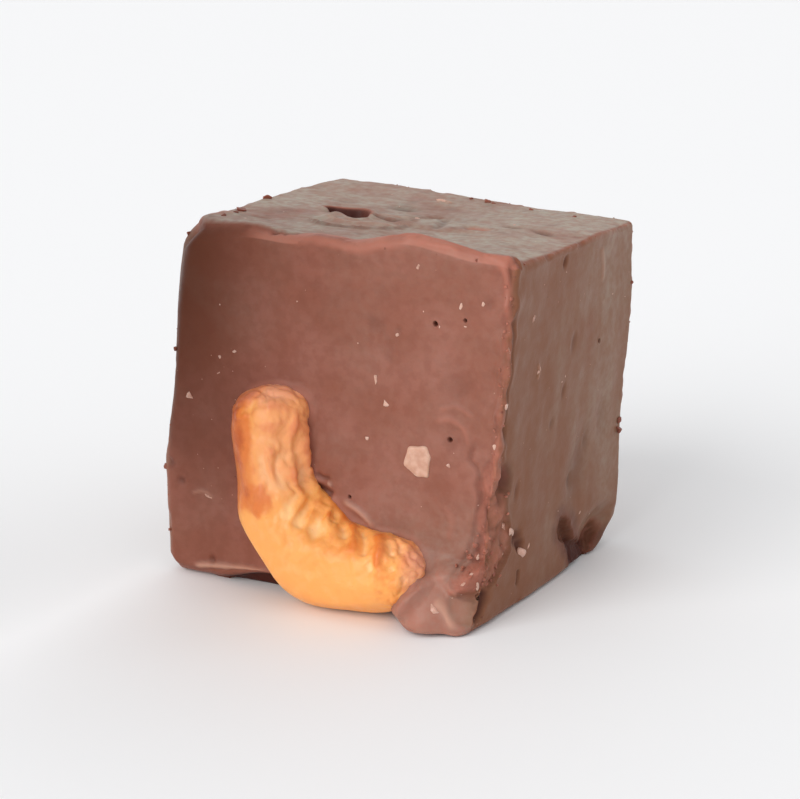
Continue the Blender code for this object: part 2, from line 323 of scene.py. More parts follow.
def ring_faces(rings, sides):
    """The corners of the cells between closed rings of points."""
    for start in range(0, (rings - 1) * sides, sides):
        for side in range(sides):
            a, b = start + side, start + (side + 1) % sides
            yield a, b, b + sides, a + sides


def add_to_scene(name, data):
    made = bpy.data.objects.new(name, data)
    bpy.context.scene.collection.objects.link(made)
    return made


def mesh_object(name, points, faces, surface):
    """A mesh from points in millimetres."""
    mesh = bpy.data.meshes.new(name)
    mesh.from_pydata((np.asarray(points) * MM).tolist(), [], faces)
    mesh.materials.append(surface)
    return add_to_scene(name, mesh)


def new_piece(name, points, faces, surface):
    """A smooth-shaded piece, which rides on the part's one body."""
    made = mesh_object(name, points, faces, surface)
    made.data.shade_smooth()
    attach(made, "root")
    return made


def store(mesh, name, values):
    """Keeps one number for each point, for a material to read."""
    mesh.attributes.new(name, "FLOAT", "POINT").data.foreach_set("value", values.astype(np.float32))


# ---- the block as the solid has it
def corner_weight(signs, share):
    return np.prod((1 + share * signs) / 2, axis=1)


def grid_place(share, radius):
    size = np.abs(share)
    flat = (HALF - radius) * size / SOLID_FLAT_SHARE
    angle = math.radians(45) * (size - SOLID_FLAT_SHARE) / (1 - SOLID_FLAT_SHARE)
    bent = HALF - radius + radius * np.tan(angle)
    return np.copysign(np.where(size <= SOLID_FLAT_SHARE, flat, bent), share)


def rounded_box(share):
    extras = (r * corner_weight(signs, share) ** 3 for signs, r in SOFTER_CORNERS.items())
    radius = (EDGE_RADIUS + sum(extras))[:, None]
    sharp = grid_place(share, radius)
    core = np.clip(sharp, radius - HALF, HALF - radius)
    normal = unit(sharp - core)
    return core + normal * radius, normal


def hand_cut(point):
    shifts = (corner_weight(signs, point / HALF)[:, None] * shift for signs, shift in CORNER_SHIFTS.items())
    return BLOCK_MIDDLE + point + sum(shifts)


def solid_relief(on_box, share, normal):
    wave = WAVE_HEIGHT * noise_at(on_box, WAVE_LENGTH)
    free = np.abs(share) < ON_FACE
    bowl = np.prod(np.where(free, 1 - share**2, 1), axis=1)
    hollow = np.where(np.sum(free, axis=1) == 2, bowl, 0)
    from_edge = np.hypot(HALF[0] - on_box[:, 0], HALF[1] + on_box[:, 1])
    nearness = np.clip(1 - from_edge / TORN_BAND, 0, None) * (1 - TORN_MORE_BELOW * share[:, 2])
    torn = np.zeros(len(on_box))
    near = nearness > 0
    torn[near] = TORN_HEIGHT * nearness[near] * noise_at(on_box[near], TORN_LENGTH)
    return np.where(normal[:, 2] < FACING_DOWN, 0, wave + torn - HOLLOW_DEPTH * hollow)


def solid_surface(share):
    """Points on the solid's faces, their normals, and their places on the box."""
    on_box, normal = rounded_box(share)
    point = hand_cut(on_box) + normal * solid_relief(on_box, share, normal)[:, None]
    return pushed(point, point, KNOCKS.values()), normal, on_box


# ---- the nut as the solid has it
class Nut:
    """The middle line of the cashew and the sizes of its sections."""

    def __init__(self):
        knots = [Vector((x, NUT_PLANE_Y, z)) for x, z in NUT_LINE]
        self.line = np.array([p[:] for p in geometry.interpolate_bezier(*knots, NUT_LINE_POINTS)])
        self.lengths = np.append(0, np.cumsum(size_of(np.diff(self.line, axis=0))))
        self.whole = self.lengths[-1]
        self.tangents = unit(np.gradient(self.line, axis=0))

    def section(self, share):
        """At shares along the nut: middle, inward direction, half width and thickness, cap."""
        middle, tangent = (
            np.stack([np.interp(share * self.whole, self.lengths, axis) for axis in line.T], axis=1)
            for line in (self.line, self.tangents)
        )
        inward = np.stack([-tangent[:, 2], np.zeros(len(share)), tangent[:, 0]], axis=1)
        to_end = np.minimum(share / NUT_END_ROUNDS[0], (1 - share) / NUT_END_ROUNDS[1]) * self.whole
        cap = np.sqrt(1 - (1 - np.minimum(to_end, 1)) ** 2)
        sizes = (read_along(halves, share) for halves in (NUT_HALF_WIDTHS, NUT_HALF_THICKNESSES))
        return middle, inward, *sizes, cap

    def surface(self, share, degrees):
        """Points on the nut's smooth skin, as the solid has it."""
        middle, inward, width, thickness, cap = self.section(share)
        turn = np.radians(degrees)
        place = np.stack([np.cos(turn) * width, np.sin(turn) * width, share * self.whole], axis=1)
        swell = 1 + NUT_WRINKLE_DEPTH * noise_at(place, NUT_WRINKLE_SIZE) / width
        point = middle + inward * (width * swell * cap * np.cos(turn))[:, None]
        point[:, 1] += thickness * swell * cap * np.sin(turn)
        return point

    def depth(self, x, z):
        """Half the nut's thickness at (x, z), 0 beside it."""
        along = np.linspace(0, 1, 121)
        middle, _, width, thickness, cap = self.section(along)
        offset, share = path_distance(np.stack([x, z], axis=1), middle[:, [0, 2]])
        reach = np.maximum(np.interp(share, along, width * cap), 1e-6)
        return np.interp(share, along, thickness * cap) * np.sqrt(np.clip(1 - (offset / reach) ** 2, 0, None))


# ---- materials
class Shader:
    """Builds one node material. Values that are sockets are linked, others are set."""

    def __init__(self, name):
        self.material = bpy.data.materials.new(name)
        self.material.use_nodes = True
        self.tree = self.material.node_tree
        where = self.node("TexCoord", output="Object")
        self.place = self.node("VectorMath", {0: where, "Scale": 1 / MM}, operation="SCALE")  # millimetres

    def put(self, inputs, values):
        for name, value in dict(values).items():
            socket = inputs[name]
            if isinstance(value, bpy.types.NodeSocket):
                self.tree.links.new(value, socket)
            elif isinstance(value, tuple) and socket.type == "RGBA":
                socket.default_value = (*value, 1)
            else:
                socket.default_value = value

    def node(self, kind, values=(), output=0, **settings):
        made = self.tree.nodes.new("ShaderNode" + kind)
        for name, value in settings.items():
            setattr(made, name, value)
        self.put(made.inputs, values)
        return made.outputs[output]

    def coat(self, colour, roughness, **values):
        """Sets the surface. scatter is the weight, radius and scale of light below it."""
        names = ("Subsurface_Weight", "Subsurface_Radius", "Subsurface_Scale")
        values.update(zip(names, values.pop("scatter", ())), Base_Color=colour, Roughness=roughness)
        self.put(
            self.tree.nodes["Principled BSDF"].inputs,
            {name.replace("_", " "): value for name, value in values.items()},
        )
        return self.material

    def math(self, operation, *values):
        return self.node("Math", enumerate(values), operation=operation)

    def times(self, a, b):
        return self.math("MULTIPLY", a, b)

    def noise(self, size, detail):
        """Noise whose lumps are size millimetres across."""
        place = self.node("VectorMath", {0: self.place, 1: (size, size, size)}, operation="DIVIDE")
        return self.node("TexNoise", {"Vector": place, "Scale": 1, "Detail": detail})

    def dots(self, spacing, radius, share):
        """1 in small round dots, one in each cell of the spacing, of which a share show."""
        place = self.node("VectorMath", {0: self.place, 1: (spacing, spacing, spacing)}, operation="DIVIDE")
        distance = self.node("TexVoronoi", {"Vector": place, "Scale": 1}, "Distance")
        kept = self.ramp(distance.node.outputs["Color"], share, share - 0.02)
        return self.times(self.ramp(distance, radius / spacing, 0.4 * radius / spacing), kept)

    def ramp(self, *values):
        """A value's low and high brought to 0 and 1, or to a second low and high."""
        return self.node("MapRange", enumerate(values), interpolation_type="SMOOTHSTEP", clamp=True)

    def mix(self, colour, *layers):
        """A colour under layers, each a share and its colour."""
        for share, layer in layers:
            colour = self.node("Mix", {0: share, 6: colour, 7: layer}, 2, data_type="RGBA")
        return colour

    def rough(self, size, detail, low, high):
        return self.ramp(self.noise(size, detail), 0.3, 0.7, low, high)

    def mask(self, name):
        return self.node("Attribute", output="Fac", attribute_name=name)

    def bump(self, height, depth, **after):
        """Fine relief: height from 0 to 1 stands for depth millimetres."""
        return self.node("Bump", {"Distance": depth * MM, "Height": height, **after})


FUDGE_BROWN = (0.262, 0.088, 0.055)
FUDGE_MILKY = (0.3, 0.11, 0.076)
FUDGE_DEEP = (0.2, 0.06, 0.035)
FUDGE_ROSY = (0.43, 0.16, 0.11)
FUDGE_CUT = (0.212, 0.086, 0.04)
FUDGE_SHADE = (0.118, 0.03, 0.012)
FUDGE_DARK = (0.056, 0.0075, 0.003)
# a grey that stands in for the reflection of the pale surroundings: painted sheen
FUDGE_PAINTED_SHEEN = (0.39, 0.33, 0.265)
FUDGE_CREAM = (0.66, 0.39, 0.28)
FUDGE_SCATTER = (0.22, (1, 0.36, 0.22), 0.0007)


def fudge_material():
    s = Shader("fudge")
    sheen_share = s.ramp(s.noise(0.7, 4), 0.28, 0.72, 0.5, 1)
    colour = s.mix(
        FUDGE_BROWN,
        (s.ramp(s.noise(5, 3), 0.36, 0.66), FUDGE_MILKY),
        (s.ramp(s.noise(0.9, 4), 0.62, 0.36, 0, 0.35), FUDGE_DEEP),
        (s.mask("cut"), FUDGE_CUT),
        # painted shade on the front's upper left
        (s.mask("deep"), FUDGE_SHADE),
        (s.mask("rosy"), FUDGE_ROSY),
        # painted sheen, broken up by noise
        (s.times(s.mask("bloom"), sheen_share), FUDGE_PAINTED_SHEEN),
        (s.times(s.dots(0.9, 0.07, 0.34), 0.45), FUDGE_CREAM),
        # dark dots: painted shade of tiny pores
        (s.times(s.dots(1.3, 0.08, 0.3), 0.55), FUDGE_DARK),
        # pale marks; on a few raised ridges and rims they are a painted highlight
        (s.mask("pale"), FUDGE_CREAM),
        # dark marks, mostly painted shade in hollows, grooves, cracks and gaps
        (s.mask("dark"), FUDGE_DARK),
    )
    rough = s.math("MULTIPLY_ADD", s.mask("bloom"), 0.08, s.rough(1.6, 4, 0.38, 0.52))
    rough = s.math("MULTIPLY_ADD", s.mask("torn"), 0.16, rough)
    crumbly = s.bump(s.times(s.noise(0.55, 4), s.mask("torn")), 0.12)
    fine = s.bump(s.noise(0.24, 3), 0.014, Normal=crumbly)
    normal = s.bump(s.noise(1.1, 3), 0.05, Normal=fine)
    return s.coat(colour, rough, IOR=1.46, Specular_IOR_Level=0.22, scatter=FUDGE_SCATTER, Normal=normal)


NUT_PALE = (0.95, 0.53, 0.22)
NUT_GOLD = (0.91, 0.39, 0.105)
NUT_ORANGE = (0.74, 0.205, 0.04)
NUT_DEEP = (0.48, 0.09, 0.018)
NUT_PINK = (0.84, 0.36, 0.21)
NUT_SCATTER = (0.25, (1, 0.45, 0.15), 0.0008)


def nut_material():
    s = Shader("roasted_cashew")
    # the nut's roasted colour, with the painted highlights and shade worked out with its relief
    roast_and_painted_light = s.math("ADD", s.mask("roast_and_painted_light"), s.ramp(s.noise(1.1, 4), 0.25, 0.75, -0.08, 0.08))
    colour = s.mix(
        NUT_PALE,
        (s.ramp(roast_and_painted_light, 0, 0.34), NUT_GOLD),
        (s.ramp(roast_and_painted_light, 0.34, 0.68), NUT_ORANGE),
        (s.ramp(roast_and_painted_light, 0.68, 1), NUT_DEEP),
        (s.mask("pink"), NUT_PINK),
        (s.times(s.dots(0.8, 0.06, 0.3), 0.4), NUT_DEEP),
    )
    rough = s.rough(0.9, 3, 0.3, 0.46)
    normal = s.bump(s.noise(0.6, 3), 0.05, Normal=s.bump(s.noise(0.22, 3), 0.014))
    return s.coat(colour, rough, IOR=1.47, Specular_IOR_Level=0.35, scatter=NUT_SCATTER, Normal=normal)


FRAGMENT_PALE = (0.64, 0.39, 0.29)
FRAGMENT_WARM = (0.53, 0.28, 0.19)
FRAGMENT_SCATTER = (0.3, (1, 0.5, 0.3), 0.0008)


def fragment_material():
    s = Shader("nut_fragment")
    colour = s.mix(FRAGMENT_PALE, (s.ramp(s.noise(0.8, 3), 0.35, 0.7), FRAGMENT_WARM))
    rough = s.rough(0.5, 3, 0.42, 0.56)
    return s.coat(colour, rough, IOR=1.47, scatter=FRAGMENT_SCATTER, Normal=s.bump(s.noise(0.3, 3), 0.03))


SUGAR_PALE = (0.66, 0.39, 0.3)
SUGAR_ROSY = (0.38, 0.16, 0.105)
SUGAR_SCATTER = (0.3, (1, 0.6, 0.5), 0.0005)


def sugar_material():
    s = Shader("pale_sugar")
    cover = s.ramp(s.math("ADD", s.noise(0.3, 3), s.mask("bare")), 0.45, 1.05)
    colour = s.mix(SUGAR_ROSY, (cover, SUGAR_PALE))
    return s.coat(colour, s.rough(0.2, 2, 0.25, 0.45), IOR=1.5, scatter=SUGAR_SCATTER)


# ---- the fudge's fine surface
class Skin:
    """The block's surface points, and what its features add to them."""

    FACES = {
        "front": ((0, 2), 1, -1), "back": ((0, 2), 1, 1), "left": ((1, 2), 0, -1),
        "right": ((1, 2), 0, 1), "top": ((0, 1), 2, 1),
    }

    def __init__(self, share):
        self.point, self.normal, self.on_box = solid_surface(share)
        self.height = np.zeros(len(share))
        self.shift = np.zeros((len(share), 3))
        self.masks = {name: np.zeros(len(share)) for name in MASKS}
        self.from_edge = np.sort(HALF - np.abs(self.on_box), axis=1)[:, 1]
        self.level = np.where(self.normal[:, 2] < -0.9, 0, 1)

    def facing(self, face, low=0.35, high=0.85):
        _, axis, sign = self.FACES[face]
        return ramp(sign * self.normal[:, axis], low, high)

    def near(self, face, middle, reach):
        """The indices of a face's points near a place, and their places."""
        places = self.point[:, self.FACES[face][0]]
        close = np.abs(places - middle).max(axis=1) < reach + LEVEL_MARGIN
        near = np.nonzero(close & (self.facing(face) > 0))[0]
        return near, places[near]

    def paint(self, where=slice(None), **amounts):
        """Brings masks up to the given amounts."""
        for mask, amount in amounts.items():
            values = self.masks[mask]
            values[where] = np.maximum(values[where], amount)

    def wipe(self, where, share):
        """Takes this share of the painted grey sheen off."""
        self.masks["bloom"][where] *= 1 - share

    def refine(self, where, level):
        self.level[where] = np.maximum(self.level[where], level)

    def settled(self):
        return self.point + self.normal * self.height[:, None] + self.shift

    def pore(self, face, across, up, radius, depth):
        """A small round hole with a faint rim."""
        near, places = self.near(face, (across, up), 2 * radius)
        distance = size_of(places - (across, up))
        rim = 0.15 * depth * hill(distance - 1.3 * radius, 0.6 * radius)
        self.height[near] += rim - depth * (1 - ramp(distance, 0.5 * radius, radius))
        # painted shade: the hole is painted dark inside
        self.paint(near, dark=0.9 * (1 - ramp(distance, 0.6 * radius, 1.15 * radius)))
        self.refine(near[distance < radius + LEVEL_MARGIN], 3)

    def dent(self, face, across, up, long, wide, turn, depth, dark):
        """A soft hollow, round or long."""
        near, places = self.near(face, (across, up), max(long, wide))
        away = places - (across, up)
        cosine, sine = math.cos(math.radians(turn)), math.sin(math.radians(turn))
        reach = np.hypot(away @ (cosine, sine) / long, away @ (-sine, cosine) / wide)
        shape = hill(reach, 1) * self.facing(face)[near]
        self.height[near] -= depth * shape
        # painted shade: the hollow is painted darker
        self.paint(near, dark=dark * shape)
        if min(long, wide) < 1:
            self.refine(near, 2)

    def stroke(self, face, mask, amount, width, height, *path):
        """A small ridge or groove along a path, ragged and fading at its ends."""
        line = smooth_path(path)
        low, high = line.min(axis=0), line.max(axis=0)
        near, places = self.near(face, (low + high) / 2, (high - low).max() / 2 + width)
        distance, share = path_distance(places, line)
        ragged = 1 + 0.3 * noise_at(self.on_box[near], 0.8, 3)
        ends = ramp(np.minimum(share, 1 - share), -0.02, 0.18)
        shape = hill(distance, width * ragged) * ends * self.facing(face)[near]
        self.height[near] += height * shape
        self.paint(near, **{mask: amount * shape})
        if mask == "rosy":
            self.wipe(near, 0.8 * amount * shape)
        self.refine(near[distance < width + LEVEL_MARGIN], 2)


def knife_marks(skin):
    """Slight lumps, broad streaks down the cut sides, and a grey sheen painted over the faces, a painted
    reflection. Also paints the front darker towards its upper left as painted shade, the cut faces' own
    colour, and dark grain on the top.
    """
    p, (x, y, z) = skin.on_box, skin.point.T
    front, back, left, right, top = (skin.facing(face) for face in Skin.FACES)
    for height, length, shift in ((0.06, 4, 3), (0.022, 1.5, 9), (0.01, 0.6, 5)):
        skin.height += height * noise_at(p, length, shift)
    down = noise_at(p, (6, 2.4, 22)) + 0.35 * noise_at(p, (6, 0.8, 9), 5)
    over = noise_at(p, (9, 1.6, 6), 2) + 0.5 * noise_at(p, (3, 0.8, 6), 8)
    skin.height += 0.05 * (right + left) * down + 0.07 * top * over
    cloud = rough_noise(p, 6, 4, 4)
    upper = 1 - 0.6 * ramp(z, 17, 25) * ramp(y, 4, -3)
    behind = y - np.interp(x, CREST_X, CREST_Y)
    behind_lip = ramp(behind + 0.3 * noise_at(p, 1.5, 7), -0.1, 0.5)
    mottled = noise_at(p, (3.2, 2.2, 3), 11)
    lower_right = ramp(z, 13, 5) * ramp(x, -1, 5)
    # painted sheen: a grey reflection painted into the colour. It is strongest on the top behind its lip and
    # fainter on the sides and the back. On the front it is strongest at the lower right and fades towards the
    # left, where the front is painted in shade.
    for side, sheen_share in (
        (right * upper, 0.01 + 0.26 * ramp(y, -2, 11) + 0.2 * cloud + 0.2 * down),
        (left, 0.18 + 0.14 * cloud + 0.14 * down),
        (back, 0.18 + 0.14 * cloud + 0.1 * noise_at(p, (2.4, 6, 22), 6)),
        (
            skin.facing("top", 0.8, 0.98) * behind_lip,
            0.74 + 0.24 * ramp(x, -4, 12) + 0.3 * cloud + 0.22 * over + 0.35 * mottled,
        ),
        (front, 0.07 * ramp(x, -10, -2) + 0.2 * lower_right + 0.08 * cloud),
    ):
        skin.paint(bloom=side * limited(sheen_share))
    # painted shade: the front is painted darker towards its upper left, and a little darker under the middle
    # of its top edge. The left face is also made darker.
    leftwards = ramp(x, -3, -14.5) * (0.4 + 0.5 * ramp(z, 10, 26))
    skin.paint(deep=front * (leftwards + 0.12 * ramp(z, 20, 29) * ramp(x, 6, -3)))
    skin.paint(deep=0.35 * left, cut=np.maximum(0.85 * right, 0.6 * (left + back)))
    grain = rough_noise(p, (1.3, 0.9, 1.3), 3, 12)
    skin.paint(dark=0.22 * top * ramp(grain, 0.25, 0.75))


def worn_edges(skin):
    """Nicks and burrs along every edge but those underneath."""
    near = np.nonzero((skin.from_edge < 0.9) & (skin.normal[:, 2] > -0.5))[0]
    p, inset = skin.on_box[near], skin.from_edge[near]
    nick = ramp(noise_at(p, 1.7, 1), 0.2, 0.6) * hill(inset, 0.9)
    burr = ramp(noise_at(p, 1.1, 6), 0.1, 0.55) * hill(inset - 0.1, 0.4)
    fine = noise_at(p, 0.55, 4) * hill(inset, 0.7)
    skin.height[near] += 0.12 * burr + 0.05 * fine - 0.2 * nick
    # the nicks are painted darker: painted shade in them
    skin.paint(near, rosy=0.3 * hill(inset, 0.7) + 0.2 * burr, dark=0.2 * nick)
    skin.refine(near[inset < 0.7], 2)


def raise_crest(skin):
    """Lifts the top front edge, where the fudge was dragged up, and paints a dark line behind it, as painted
    shade. The reddish paint in front of that line is partly a painted highlight.
    """
    x, y, z = skin.point.T
    away = np.hypot(y - CREST_LINE_Y, z - CREST_LEVEL)
    skin.shift[:, 2] += np.interp(x, CREST_X, CREST_LIFT) * hill(away, CREST_REACH)
    behind = y - np.interp(x, CREST_X, CREST_Y)
    near = np.nonzero((np.abs(behind) < 1.2) & (skin.facing("top") > 0) & (x > -9))[0]
    behind = behind[near] + 0.15 * noise_at(skin.on_box[near], 1.3, 4)
    line = hill(behind - 0.15, 0.42) * ramp(x[near], -8.5, -6)
    skin.height[near] -= 0.16 * line
    # painted shade in the line behind the crest; the reddish in front of it is partly a painted highlight
    skin.paint(near, dark=0.34 * line, rosy=0.75 * ramp(behind, 0.5, 0) * ramp(x[near], -9, -6))
    skin.refine(near[np.abs(behind) < 0.7], 2)


def tear_corner(skin):
    """The strip on the right upright edge, where the knife tore the fudge."""
    x, y, z = skin.point.T
    from_front = x - np.interp(z, TORN_FROM_Z, TORN_FROM_X)
    inside = np.minimum(from_front, np.interp(z, TORN_FROM_Z, TORN_TO_Y) - y)
    faced = (skin.facing("front") + skin.facing("right")) > 0
    near = np.nonzero(faced & (inside > -1.2))[0]
    p, z = skin.point[near], z[near]
    low = ramp(z, 16, 9)
    crumbly = hill(size_of(p - CRUMBLY_MIDDLE), CRUMBLY_REACH)
    inside = inside[near] + (0.34 * noise_at(p, 1.6, 2) + 0.2 * noise_at(p, 0.6, 5))
    torn = ramp(inside, 0, 0.4) * ramp(z, 2.6, 3.6)
    broken = chunks(p, 2.8, 4) - 0.5
    grit = rough_noise(p, 0.8, 3, 8)
    rough = (0.16 + 0.2 * low) * broken + (0.09 + 0.03 * low + 0.18 * crumbly) * grit
    skin.height[near] += torn * (rough - 0.04 - 0.1 * low) + 0.08 * hill(inside + 0.05, 0.45)
    skin.paint(
        near,
        torn=torn * (0.25 + 0.25 * low + 0.5 * crumbly),
        rosy=torn * limited(0.5 + 0.3 * broken + 0.35 * grit),
        # painted shade along the strip's border
        dark=hill(inside - 0.12, 0.3) * (0.08 + 0.16 * low),
    )
    # painted shade in the cracks between broken chunks, low down
    skin.paint(near, dark=0.22 * torn * low * ramp(broken, -0.25, -0.5))
    skin.wipe(near, torn)
    skin.refine(near[inside > -0.4], 2)


def break_foot(skin):
    """Breaks a ragged forked hollow into the foot of the right side, and wears its corner. The hollow, a soft
    halo round its front and the low part of the worn corner are painted dark, as painted shade.
    """
    middle = np.mean(RECESS, axis=0)
    reach = np.abs(RECESS - middle).max() + 1.7
    close = np.abs(skin.point[:, [1, 2]] - middle).max(axis=1) < reach
    near = np.nonzero(close & (skin.point[:, 0] > 10))[0]
    p = skin.point[near]
    x, y, z = p.T
    inside = inside_distance(p[:, 1:], RECESS)
    inside += 0.22 * noise_at(p, 1.1, RECESS_SEED)
    inside += 0.1 * noise_at(p, 0.5, 2)
    rough = 0.65 + 0.35 * chunks(p, 1.4, RECESS_SEED) + 0.16 * rough_noise(p, 0.8, 3, RECESS_SEED)
    deep = RECESS_DEPTH * (0.25 + 0.75 * ramp(z, 0.1, 2.4)) * ramp(x, 11, 14)
    skin.shift[near, 0] -= deep * ramp(inside, 0, RECESS_WALL) * rough
    spots = ramp(rough_noise(p, 0.9, 3, 9), 0.15, 0.55) * ramp(y, 7.5, 10)
    lower = 0.5 + 0.46 * ramp(z, 3.9, 2) * ramp(y, 12, 9.5)
    cloudy = inside + 0.5 * rough_noise(p, 1.8, 4, 6)
    skin.paint(
        near,
        # painted shade in the hollow, darkest low down towards its front, a little less on the pinkish spots
        dark=lower * ramp(cloudy, -0.6, 0.7) * (1 - 0.25 * spots),
        rosy=0.2 * hill(inside + 0.1, 0.5) + 0.4 * spots * ramp(inside, 0, 0.3),
        torn=0.7 * ramp(inside, -0.2, 0.3),
    )
    # painted shade: a soft dark halo round the front of the hollow
    skin.paint(near, dark=0.45 * ramp(cloudy, -1.3, 0) * ramp(y, 10, 7))
    skin.wipe(near, ramp(inside, -0.4, 0.1))
    skin.refine(near[inside > -0.4], 2)
    skin.refine(near[np.abs(inside - 0.2) < 0.4], 3)
    x, y, z = skin.point.T
    worn = ramp(z + 0.3 * skin.masks["torn"], 2.5, 1.4) * ramp(y, 8, 9.5) * ramp(x, 11, 14)
    # painted shade low on the worn corner
    skin.paint(dark=0.55 * worn)
    skin.shift[:, 1] -= CORNER_LOSS * ramp(z, 2.9, 0.4) * ramp(y, 8, 13.6) * ramp(x, 7, 13.5)


def crater(skin):
    """A torn hole in the top with a ragged rim."""
    outline = smooth_path((*CRATER, CRATER[0]))
    near, places = skin.near("top", outline.mean(axis=0), 4.5)
    p = skin.point[near]
    inside = inside_distance(places, outline) + 0.12 * noise_at(p, 0.8, 2)
    sunk = ramp(inside, 0, CRATER_WALL)
    rough = 0.75 + 0.25 * chunks(p, 1, 6)
    skin.height[near] += 0.14 * hill(inside + 0.3, 0.45) - CRATER_DEPTH * sunk * rough
    # painted shade: the hole is painted dark inside, darkest at its left end
    shade = (0.62 + 0.35 * ramp(p[:, 0], -4.5, -6.5)) * ramp(inside, -0.04, 0.12)
    skin.paint(near, dark=shade, rosy=0.55 * ramp(inside, -0.2, 0), torn=0.5 * sunk)
    skin.wipe(near, ramp(inside, -0.25, 0.05))
    skin.refine(near[inside > -0.5], 3)


def smear_plate(skin):
    """A thin plate of smeared fudge on the top, which ends in a small step."""
    line = smooth_path(PLATE_EDGE)
    near, places = skin.near("top", line.mean(axis=0), 6)
    p = skin.on_box[near]
    distance, share = path_distance(places, line)
    before = line[0] + share[:, None] * (line[-1] - line[0])
    behind = np.where(places[:, 1] - before[:, 1] > 0, 1, -1)
    ends = ramp(np.minimum(share, 1 - share), 0, 0.2)
    fade = 1 - ramp(distance, 0.4, PLATE_REACH)
    ragged = distance * behind + 0.16 * noise_at(p, 2.4, 2)
    skin.height[near] += PLATE_RISE * ramp(ragged, -0.24, 0.24) * fade * ends
    broken = ramp(noise_at(p, 1.6, 13), -0.25, 0.35)
    # painted shade along the foot of the step
    skin.paint(near, dark=(0.12 + 0.3 * broken) * hill(distance + 0.15 * behind, 0.45) * ends)
    skin.refine(near[distance < 0.8], 2)


def press_nut_in(skin, nut):
    """Sinks the nut's pocket, with a ragged rim, and laps the foot over the nut's end. A wedge left of the
    nut's foot and a crevice along the pocket's edge are painted dark, as painted shade.
    """
    near, places = skin.near("front", (0, 8), 14)
    p = skin.point[near]
    x, y, z = p.T
    inside = inside_distance(places, nut.outline)
    rim = limited(0.1 + 0.14 * noise_at(p, 2.2, 1) + 0.08 * noise_at(p, 0.7, 4))
    rim += 0.26 * ramp(z, 15.5, 17.5)
    skin.height[near] += rim * hill(inside - 0.05, 0.6)
    lapped = ramp(inside_distance(places, LOBE) + 0.1 * noise_at(p, 1.5, 7), 0, LOBE_EDGE)
    y = y - LOBE_BULGE * (1 - ramp(size_of(places - LOBE_BULK), *LOBE_BULK_REACH))
    depth = nut.depth(x, z)
    behind = y + ramp(inside, 0.3, 0.75) * np.maximum(NUT_PLANE_Y + depth + NUT_GAP - y, 0)
    over = depth + np.maximum(0.9 * nut.depth(x - 0.8, z) - depth, 0) * lapped
    before = NUT_PLANE_Y - over + LOBE_UNDER - (LOBE_UNDER + LOBE_OVER) * lapped
    closeness = limited(1 - np.abs(before - y) / LOBE_BLEND)
    lobe = np.minimum(before, y) - 0.25 * LOBE_BLEND * closeness**2 * ramp(over, 0, 1)
    skin.point[near, 1] = np.where(lapped > 0, lobe, np.where(inside > 0, behind, y))
    wedge = hill(inside + 0.3, 0.85) * ramp(z, 4.6, 2.8) * ramp(x, -2, -4.5)
    skin.height[near] -= 0.5 * wedge
    crevice = 0.3 * hill(inside - 0.25, 0.3) * (1 - ramp(lapped, 0, 0.1))
    smear = 0.6 * np.maximum(hill(inside, 0.8), lapped)
    # painted shade in the wedge and along the pocket's edge
    skin.paint(near, dark=np.maximum(0.95 * ramp(wedge, 0, 0.6), crevice), rosy=smear)
    skin.refine(near[np.abs(inside - 0.2) < 0.8], 2)
    skin.refine(near[(lapped > 0) & (inside > -0.6)], 3)


def undercut(skin):
    """The gap beside the nut, where the underside comes down behind the raised edge. The underside there is
    painted dark, as painted shade.
    """
    x, y, z = skin.point.T
    down = skin.normal[:, 2]
    below = ramp(down, -0.3, -0.8) * (z < 2.5)
    beside = ramp(x, GAP_LEFT, GAP_LEFT + 2) * ramp(x, -0.5, -2.5)
    raised = ramp(x, GAP_LEFT, -6.5) * ramp(x, -0.5, -2.5)
    skin.shift[:, 2] -= z * below * beside * ramp(y, *GAP_Y)
    skin.shift[:, 2] += GAP_LIFT * raised * ramp(z, 2.2, 0.5) * ramp(y, *GAP_Y[::-1])
    # painted shade on the underside beside the nut
    skin.paint(dark=0.97 * ramp(down, -0.55, -0.9) * beside)
    skin.refine((below > 0) & (beside > 0) & (y < GAP_Y[1] + 0.7), 2)


def break_facet(skin):
    """A flat broken face on the lobe at the foot."""
    away = skin.settled() - FACET_POINT
    normal = unit(np.array([FACET_NORMAL]))[0]
    over = np.maximum(away @ normal, 0) * (1 - ramp(size_of(away), 0.8 * FACET_REACH, FACET_REACH))
    skin.shift -= over[:, None] * normal
    skin.paint(cut=0.9 * ramp(over, 0.02, 0.12))
    skin.refine(size_of(away) < FACET_REACH, 2)


def marked_skin(share, nut):
    """The whole fine surface of the block."""
    skin = Skin(share)
    knife_marks(skin)
    worn_edges(skin)
    raise_crest(skin)
    for mark, table in ((skin.pore, PORES), (skin.dent, DENTS), (skin.stroke, STROKES)):
        for face, rows in table.items():
            for row in rows:
                mark(face, *row)
    for feature in (crater, smear_plate, tear_corner, break_foot):
        feature(skin)
    press_nut_in(skin, nut)
    undercut(skin)
    break_facet(skin)
    return skin


def to_solid_share(grid):
    """From even grid lines to the solid's own, with fewer in the rounded edges."""
    flat = 1 - 2 * ROUND_CELLS / CELLS
    size = np.abs(grid)
    low = size * SOLID_FLAT_SHARE / flat
    high = SOLID_FLAT_SHARE + (size - flat) * (1 - SOLID_FLAT_SHARE) / (1 - flat)
    return np.copysign(np.where(size <= flat, low, high), grid)


